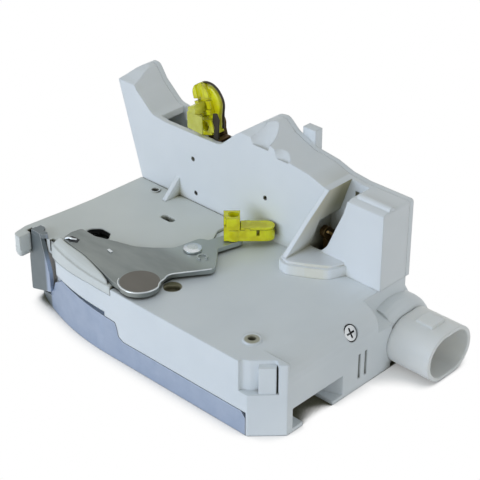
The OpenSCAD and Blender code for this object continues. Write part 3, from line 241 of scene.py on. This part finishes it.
def clear_clip_plastic(name, body, deep, through):
    """Translucent nylon, moulded: light enters it, its colour drifts between two tones, its edges
    carry a painted deeper tone and its hollows painted shade, and the skin is glossy and a little
    wavy where it shrank."""
    made, tree, output = new_material(name)
    cloud = grain(tree, 4, 1.5)
    mass = drifting_tone(tree, cloud, body, deep, 0.38, 0.62)
    # painted deeper tone along the edges
    mass = add_node(tree, "ShaderNodeMix", {
        "Factor": painted_edge_mask(tree, 0.5, 0.8), FIRST: mass, SECOND: colour("#8E8A10")}, MIXED,
        data_type="RGBA")
    # the base colour is multiplied by painted shade in hollows
    shader = add_node(tree, "ShaderNodeBsdfPrincipled", {
        "Base Color": add_node(tree, "ShaderNodeMix", {
            "Factor": 1.0, FIRST: mass, SECOND: hollow_shade(tree, 3, CLIP_HOLLOW_SHADE)}, MIXED,
            data_type="RGBA", blend_type="MULTIPLY"),
        "Roughness": add_node(tree, "ShaderNodeMapRange", {
            "Value": cloud, "From Min": NOISE_LOW, "From Max": NOISE_HIGH,
            "To Min": 0.1, "To Max": 0.24}, "Result"),
        "IOR": 1.53,
        "Transmission Weight": through,
        "Subsurface Weight": 0.3,
        "Subsurface Radius": (1.0, 0.9, 0.15),
        "Subsurface Scale": 2 * MM,
        "Normal": soft_edges(tree, 0.4, grain(tree, 2.4, 1.0), 0.5),
    }, "BSDF")
    tree.links.new(shader, output.inputs["Surface"])
    return made


def lever_zone(tree, tone):
    """The lever turns paler behind its rivet, and its round end is painted dark as shade."""
    pale = add_node(tree, "ShaderNodeMix", {
        "Factor": spread_along(tree, "Y", -5, 3), FIRST: tone, SECOND: colour("#A2AAA8")}, MIXED,
        data_type="RGBA")
    return spot(tree, pale, at(65, 8.4, 34.9), 7.85, "#66635C")


def housing_zone(tree, tone):
    """Painted shade darkens the recess beside the lever and the rim of the screw boss."""
    stained = spot(tree, tone, at(72.8, 18.2, 31.5), 3.7, "#7C795F")
    return spot(tree, stained, at(120.2, 12.6, 32.4), 2.9, "#A9A793")


def window_zone(tree, tone):
    """The walls of the lever window are painted black as shade below the face of the cover."""
    share = add_node(tree, "ShaderNodeMath", {
        0: near_point(tree, at(24, 20.2, 31), 10.5, 11), 1: spread_along(tree, "Z", 32.3, 31.9)},
        0, operation="MULTIPLY")
    return add_node(tree, "ShaderNodeMix", {
        "Factor": share, FIRST: tone, SECOND: colour("#0C0C0B")}, MIXED, data_type="RGBA")


def plate_zone(tree, tone):
    """The tall tab of the plate is painted duller, as shade on its face."""
    return add_node(tree, "ShaderNodeMix", {
        "Factor": spread_along(tree, "X", -57.6, -59.2), FIRST: tone, SECOND: colour("#747C7F")},
        MIXED, data_type="RGBA")


# small marks in the front wall of the upright, painted dark as shade
WALL_MARKS = [at(31.9, 70.4, 52.6), at(33.3, 70.4, 37), at(72.8, 70.4, 49.7)]


def channel_zone(tree, tone):
    """The wall of the channel that faces the inside lever is tinted olive, darker towards the rear,
    and the small marks in the front wall are painted dark as shade."""
    facing = add_node(tree, "ShaderNodeNewGeometry", take="Normal")
    towards_lever = add_node(tree, "ShaderNodeSeparateXYZ", {"Vector": facing}, "X")
    within = add_node(tree, "ShaderNodeMath", {
        0: spread_along(tree, "X", 26, 33), 1: spread_along(tree, "X", 43, 41)}, 0,
        operation="MULTIPLY")
    turned = add_node(tree, "ShaderNodeMapRange", {
        "Value": towards_lever, "From Min": 0.2, "From Max": 0.7}, "Result")
    share = add_node(tree, "ShaderNodeMath", {0: within, 1: turned}, 0, operation="MULTIPLY")
    for centre in WALL_MARKS:
        tone = spot(tree, tone, centre, 1.0, "#4A4A48")
    film = add_node(tree, "ShaderNodeMix", {
        "Factor": spread_along(tree, "Y", 39, 46), FIRST: colour("#E4E0CC"),
        SECOND: colour("#ABA684")}, MIXED, data_type="RGBA")
    return add_node(tree, "ShaderNodeMix", {"Factor": share, FIRST: tone, SECOND: film}, MIXED,
                    data_type="RGBA")


# Acetal, injection moulded: satin, so broad faces have a soft even sheen.
housing_white = moulded_plastic("moulded_acetal_white", "#E9EEF1", "#E0E6EA", hollow_shade_stops=PALE_HOLLOW_SHADE,
                                zone=housing_zone)
# The same acetal in the upright: painted shade in its hollows and an olive tint in the channel.
upright_white = moulded_plastic("moulded_acetal_upright", "#EAEEF1", "#E2E7EA", reach_mm=11,
                                hollow_shade_stops=CHANNEL_HOLLOW_SHADE, zone=channel_zone)
# Acetal in a thin wall: light passes into it and makes it glow from within.
socket_white = moulded_plastic("moulded_acetal_thin_wall", "#F2F4F2", "#ECEFEE", (0.3, 0.4),
                               glow=0.55, reach_mm=5, deep=4.5)
# Acetal on the cover, moulded with rounder edges: slightly warmer and darker, as painted shade.
cover_white = moulded_plastic("moulded_acetal_cover", "#E0E4E1", "#D8DCD9", edge_mm=1.2,
                              hollow_shade_stops=COVER_HOLLOW_SHADE, zone=window_zone)
# Acetal without pigment, moulded: ivory and smoother, as gears are.
gear_natural = moulded_plastic("moulded_acetal_natural", "#E9E4D2", "#DCD6C2", (0.3, 0.4), 0.15)
# Elastomer moulded over the steel claw: black and dull.
claw_jacket_black = moulded_plastic("overmoulded_elastomer_black", "#2B2D30", "#222427",
                                    (0.5, 0.62), 0.4, 1.5, 0.0)
# Glass filled PBT, moulded: blue grey and satin.
switch_blue_grey = moulded_plastic("moulded_pbt_dark", "#34414C", "#2C3842", (0.4, 0.5), 0.3,
                                   1.55, 0.0)
# Rubber, moulded: black and matt.
buffer_rubber = moulded_plastic("moulded_rubber_black", "#202224", "#17181A", (0.62, 0.78), 0.5,
                                1.52, 0.0)
# Steel sheet, zinc plated and passivated blue: a dull metal with long soft streaks.
plate_zinc = sheet_steel("zinc_plated_sheet", "#A7B4C9", "#9EACC2", (0.44, 0.54), 0.3, 0.45,
                         (1, 0.25, 1), plate_zone)
# Steel sheet, stamped and oiled: grey, streaked along the lever, with a painted edge highlight.
lever_steel = sheet_steel("oiled_steel_sheet", "#8A908D", "#7E8482", (0.36, 0.48), 0.3, 0.7,
                          (0.3, 1, 1), lever_zone, "#C6CBCB")
# Steel, stamped and case hardened: dark grey and smooth.
claw_steel = sheet_steel("hardened_steel_sheet", "#8A8F93", "#6F757A", (0.3, 0.42), 0.25)
# Steel, turned and zinc plated: bright and smooth.
pin_steel = sheet_steel("turned_steel_plated", "#D3D8DA", "#B9BFC2", (0.22, 0.36), 0.2)
# Steel screw head, pressed and plated: bright, with painted shade in its recess.
screw_steel = sheet_steel("plated_screw_steel", "#D6DADC", "#B4B9BC", (0.2, 0.35), 0.3,
                          recess_mm=1.6)
# Spring wire, drawn: smooth and grey.
spring_steel = sheet_steel("drawn_spring_wire", "#B9BCC0", "#989CA1", (0.22, 0.36), 0.2)
# Deep drawn steel can of the motor: an even pale metal.
motor_steel = sheet_steel("drawn_steel_can", "#B4B9BE", "#9CA1A6", (0.25, 0.36), 0.4)
# Steel, stamped and passivated brown: warm, half metallic, with a brassy painted edge highlight.
brown_steel = sheet_steel("brown_passivated_steel", "#5E4826", "#3E2E15", (0.36, 0.5), 0.25, 0.8,
                          edge_highlight="#A89056")
# Spring strip, blued and oiled: nearly black with a brown cast.
spring_strip = sheet_steel("blued_spring_strip", "#2C2410", "#1E1808", (0.34, 0.46), 0.2, 0.25,
                           edge_highlight="#6A5C30")
# Brass strip, stamped and thinly tinned: pale gold.
contact_brass = sheet_steel("tinned_brass_strip", "#C9A468", "#B08D54", (0.28, 0.4), 0.15)
# Nylon, moulded with yellow dye: strong colour that deepens in the mass.
clip_yellow = clear_clip_plastic("translucent_nylon_yellow", "#FFFF24", "#E8E012", 0.2)
# The same nylon in a thin wall: paler, and more light passes.
clip_pale = clear_clip_plastic("translucent_nylon_thin", "#F8F870", "#ECEC58", 0.35)

FINISHES = {
    housing_white: ["latch_housing", "actuator_cover", "motor_lid"],
    upright_white: ["actuator_housing"],
    socket_white: ["connector_socket"],
    cover_white: ["top_cover"],
    gear_natural: ["lock_sector", "drive_gear", "motor_worm", "switch_plunger"],
    claw_jacket_black: ["claw_jacket"],
    switch_blue_grey: ["ajar_switch"],
    buffer_rubber: ["striker_bumper"],
    plate_zinc: ["face_plate", "back_plate"],
    lever_steel: ["release_lever"],
    claw_steel: ["claw", "pawl"],
    pin_steel: ["claw_pin", "pawl_pin", "lever_rivet", "lock_lever_pin", "gear_pin",
                "inner_lever_pin"],
    screw_steel: ["housing_screws"],
    spring_steel: ["claw_spring", "pawl_spring", "release_spring", "inner_spring"],
    motor_steel: ["lock_motor"],
    brown_steel: ["lock_lever", "inner_lever"],
    contact_brass: ["connector_pins", "lead_frame"],
    clip_yellow: ["rod_clip_lower", "rod_clip_upper"],
}
for finish, names in FINISHES.items():
    for name in names:
        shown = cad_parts[name]
        shown.data.materials.clear()
        shown.data.materials.append(finish)


def add_piece(name, data, finish, body):
    """A piece that only the scene has, on the body that carries it."""
    piece = bpy.data.objects.new(name, data)
    scene.collection.objects.link(piece)
    data.materials.append(finish)
    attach(piece, body)
    return piece


def pressed(name, outline, low, high, place, finish, body, edge_mm):
    """A plate of the given outline, from one depth to another, with rounded edges."""
    shape = bmesh.new()
    rings = [[shape.verts.new(place(u, v, w)) for u, v in outline] for w in (low, high)]
    shape.faces.new(rings[0])
    shape.faces.new(reversed(rings[1]))
    for k in range(len(outline)):
        n = (k + 1) % len(outline)
        shape.faces.new((rings[0][n], rings[0][k], rings[1][k], rings[1][n]))
    bmesh.ops.recalc_face_normals(shape, faces=shape.faces)
    mesh = bpy.data.meshes.new(name)
    shape.to_mesh(mesh)
    shape.free()
    piece = add_piece(name, mesh, finish, body)
    mesh.shade_smooth()
    rounding = piece.modifiers.new("rounding", "BEVEL")
    rounding.width, rounding.segments, rounding.limit_method = edge_mm * MM, 3, "ANGLE"
    piece.modifiers.new("flats", "WEIGHTED_NORMAL")


def wire(name, points, radius_mm, finish, body):
    """A bent wire or rolled bead through the given points."""
    data = bpy.data.curves.new(name, "CURVE")
    data.dimensions, data.use_fill_caps = "3D", True
    data.bevel_depth, data.bevel_resolution = radius_mm * MM, 4
    line = data.splines.new("BEZIER")
    line.bezier_points.add(len(points) - 1)
    for knot, point in zip(line.bezier_points, points):
        knot.co = point
        knot.handle_left_type = knot.handle_right_type = "AUTO"
    add_piece(name, data, finish, body)


def upright_place(x, z, y):
    """A point of an outline drawn on the upright, seen from the front, at a depth y."""
    return at(x, y, z)


# upper rod clip: wide shell behind its arm, sprung strap over its head, thin flap and lug in front
pressed("clip_upper_shell", [
    (33.4, 66.6), (41.6, 66.6), (41.6, 73.6), (42.2, 76), (42.2, 79.4), (40.4, 82.6), (37.6, 84.6),
    (34.4, 85), (31.2, 83.6), (29, 80.8), (29, 79), (30.8, 78.2), (30.8, 75), (30.8, 71.8),
    (33.4, 70.6)], 76.0, 78.3, upright_place, clip_yellow, "upper_clip", 0.6)
STRAP_DEPTH = 77.2
wire("clip_upper_strap", [at(x, STRAP_DEPTH, z) for x, z in (
    (29.8, 83.6), (32.4, 85.4), (35.4, 86), (38.8, 85.2), (41.8, 82.6), (43.3, 79.6), (43.2, 75),
    (43, 68.2))], 0.5, spring_strip, "upper_clip")
pressed("clip_upper_flap", [(30, 74.4), (38.6, 74.4), (38.8, 66.6), (30.2, 67)], 69.1, 69.9,
        upright_place, clip_pale, "upper_clip", 0.3)
pressed("clip_upper_lug", [(30.2, 76.4), (33.4, 77.8), (34.6, 76.4), (34.6, 73.4), (30.4, 73.4)],
        69.3, 76.8, upright_place, clip_pale, "upper_clip", 0.4)

# lock lever: tongue that stands beside the hub of the upper clip, and the bend that carries it
pressed("lock_lever_tongue", [
    (41.8, 63), (44.6, 63), (44.8, 69), (45.2, 74), (43.8, 76.6), (41.6, 76), (41.2, 72.4),
    (42.2, 70)], 72.5, 73.1, upright_place, spring_strip, "lock_unit", 0.2)
pressed("lock_lever_bend", [(42.9, 62), (45.4, 62), (45.4, 65), (42.9, 65)], 72.6, 79.3,
        upright_place, brown_steel, "lock_unit", 0.3)

# lower rod clip: lid that snaps over the rod, drawn along the arm of the clip from its pivot
ARM = math.radians(44)
along = Vector((math.cos(ARM), math.sin(ARM), 0))
across = Vector((-math.sin(ARM), math.cos(ARM), 0))


def arm_place(u, v, w):
    """A point given in millimetres along the arm, across it and above the lever."""
    return at(68, 57.2, 35.15) + (along * u + across * v) * MM + Vector((0, 0, w * MM))


pressed("clip_lower_lid", [
    (2.7, -3.3), (13.6, -3.3), (15.6, -2.4), (16.5, -0.8), (16.5, 0.8), (15.6, 2.4), (13.6, 3.3),
    (2.7, 3.3)], 5.0, 6.0, arm_place, clip_yellow, "lower_clip", 0.35)

# inside lever: wire arm over it in the channel
wire("inner_lever_wire", [at(103.4, y, z) for y, z in ((73.6, 45), (76, 43), (79, 39), (81, 34.5))],
     0.55, contact_brass, "inner_unit")

# release lever: a bright bead along its front edge as a painted highlight, an embossed pip, and
# # at its end a hook over a thin black rubber pad that is painted shade in its hole
LEVER_TOP = 34.9
wire("lever_edge_highlight_bead", [at(x, y, LEVER_TOP) for x, y in (
    (57.6, 4.4), (58.6, 2.9), (61, 1.1), (65, 0.2), (69, 1.2), (71.6, 3.6), (73, 6.6), (73, 10.4),
    (71.2, 13), (70.4, 16.2), (69.6, 19.4), (72, 24), (76, 30), (78.4, 34))], 0.32, pin_steel,
     "release_unit")
pressed("lever_pip", [(38.4, 15.4), (41, 15), (41.2, 16.2), (38.6, 16.6)], 34.8, 35.3, at,
        pin_steel, "release_unit", 0.2)
pressed("lever_hole_shade_pad", [(18.8, 10.6), (22.4, 9.6), (25.4, 11.2), (24.4, 13.4), (20.2, 13.2)],
        34.8, 35.0, at, buffer_rubber, "release_unit", 0.08)
wire("lever_end_hook", [at(*point) for point in (
    (19.6, 9.9, 35), (21, 10.7, 35.5), (22.6, 11.2, 35.4), (23.6, 12.4, 35.0))], 0.45, pin_steel,
     "release_unit")


def shown_white(tree):
    """1 for the rays that see the backdrop, straight or through gloss and glass."""
    ray = add_node(tree, "ShaderNodeLightPath")
    seen = add_node(tree, "ShaderNodeMath", {
        0: ray.outputs["Is Camera Ray"], 1: ray.outputs["Is Glossy Ray"]}, 0, operation="MAXIMUM")
    return add_node(tree, "ShaderNodeMath", {0: seen, 1: ray.outputs["Is Transmission Ray"]}, 0,
                    operation="MAXIMUM")


def floor_material():
    """White card, coated: it shows white to the eye and in the metal, keeps the soft shadow of
    the part, and carries a painted olive dark shadow under it, inside the mouth."""
    made, tree, output = new_material("floor_card")
    beside = add_node(tree, "ShaderNodeAmbientOcclusion", {"Distance": 14 * MM}, "AO", samples=16)
    beneath = add_node(tree, "ShaderNodeAmbientOcclusion", {"Distance": 40 * MM}, "AO", samples=16)
    bright = add_node(tree, "ShaderNodeMapRange", {
        "Value": beside, "From Min": 0.42, "From Max": 0.7, "To Min": 0.25}, "Result")
    covered = add_node(tree, "ShaderNodeMapRange", {
        "Value": beneath, "From Min": 0.36, "From Max": 0.48, "To Min": 1.0, "To Max": 0.0},
        "Result")
    painted_shadow_share = add_node(tree, "ShaderNodeMath", {
        0: covered, 1: spread_along(tree, "X", 70.3, 69.7)}, 0, operation="MULTIPLY")
    lit = add_node(tree, "ShaderNodeMath", {0: bright, 1: painted_shadow_share}, 0, operation="SUBTRACT",
                   use_clamp=True)
    share = add_node(tree, "ShaderNodeMath", {0: shown_white(tree), 1: lit}, 0,
                     operation="MULTIPLY")
    # painted olive shadow on the card under the part
    tone = add_node(tree, "ShaderNodeMix", {
        "Factor": painted_shadow_share, FIRST: colour("#F4F4F4"), SECOND: colour("#6B6957")}, MIXED,
        data_type="RGBA")
    card = add_node(tree, "ShaderNodeBsdfDiffuse", {"Color": tone}, 0)
    white = add_node(tree, "ShaderNodeEmission", {"Color": (1, 1, 1, 1), "Strength": 1.0}, 0)
    both = add_node(tree, "ShaderNodeMixShader", {"Fac": share, 1: card, 2: white}, 0)
    tree.links.new(both, output.inputs["Surface"])
    return made


# pale plain floor, just under the part
REACH, DROP = 3, -0.0001
floor_mesh = bpy.data.meshes.new("floor")
floor_mesh.from_pydata([(-REACH, -REACH, DROP), (REACH, -REACH, DROP), (REACH, REACH, DROP),
                        (-REACH, REACH, DROP)], [], [(0, 1, 2, 3)])
floor = bpy.data.objects.new("floor", floor_mesh)
scene.collection.objects.link(floor)
floor_mesh.materials.append(floor_material())

# Plain studio: a grey ceiling with brighter walls low down lights the part, and the rays that see
# the backdrop get white.
WALL_LIGHT, CEILING_LIGHT = (0.56, 0.58, 0.59, 1), (0.395, 0.415, 0.402, 1)
world = bpy.data.worlds.new("studio")
scene.world = world
world.use_nodes = True
sky = world.node_tree
sky.nodes.clear()
facing = add_node(sky, "ShaderNodeTexCoord", take="Generated")
height = add_node(sky, "ShaderNodeSeparateXYZ", {"Vector": facing}, "Z")
climb = add_node(sky, "ShaderNodeMapRange", {
    "Value": height, "From Min": 0.0, "From Max": 0.9}, "Result")
dome = add_node(sky, "ShaderNodeMix", {
    "Factor": climb, FIRST: WALL_LIGHT, SECOND: CEILING_LIGHT}, MIXED, data_type="RGBA")
shade = add_node(sky, "ShaderNodeMix", {
    "Factor": shown_white(sky), FIRST: dome, SECOND: (1, 1, 1, 1)}, MIXED, data_type="RGBA")
air = add_node(sky, "ShaderNodeBackground", {"Color": shade, "Strength": 1.0}, 0)
add_node(sky, "ShaderNodeOutputWorld", {"Surface": air})


def soft_lamp(name, where, size, power, tint):
    """A square lamp that faces the middle of the part."""
    data = bpy.data.lights.new(name, "AREA")
    data.size, data.energy, data.color = size, power, colour(tint)[:3]
    lamp = bpy.data.objects.new(name, data)
    lamp.location = where
    lamp.rotation_mode = "QUATERNION"
    lamp.rotation_quaternion = (Vector((0, 0, 0.03)) - Vector(where)).to_track_quat("-Z", "Y")
    scene.collection.objects.link(lamp)


# a cool window in front, and a weak fill from the right
soft_lamp("window", (-0.25, -1.4, 0.3), 0.9, 9.6, "#DDEAFF")
soft_lamp("fill", (1.4, -0.1, 0.35), 0.9, 1.2, "#F1F4FF")
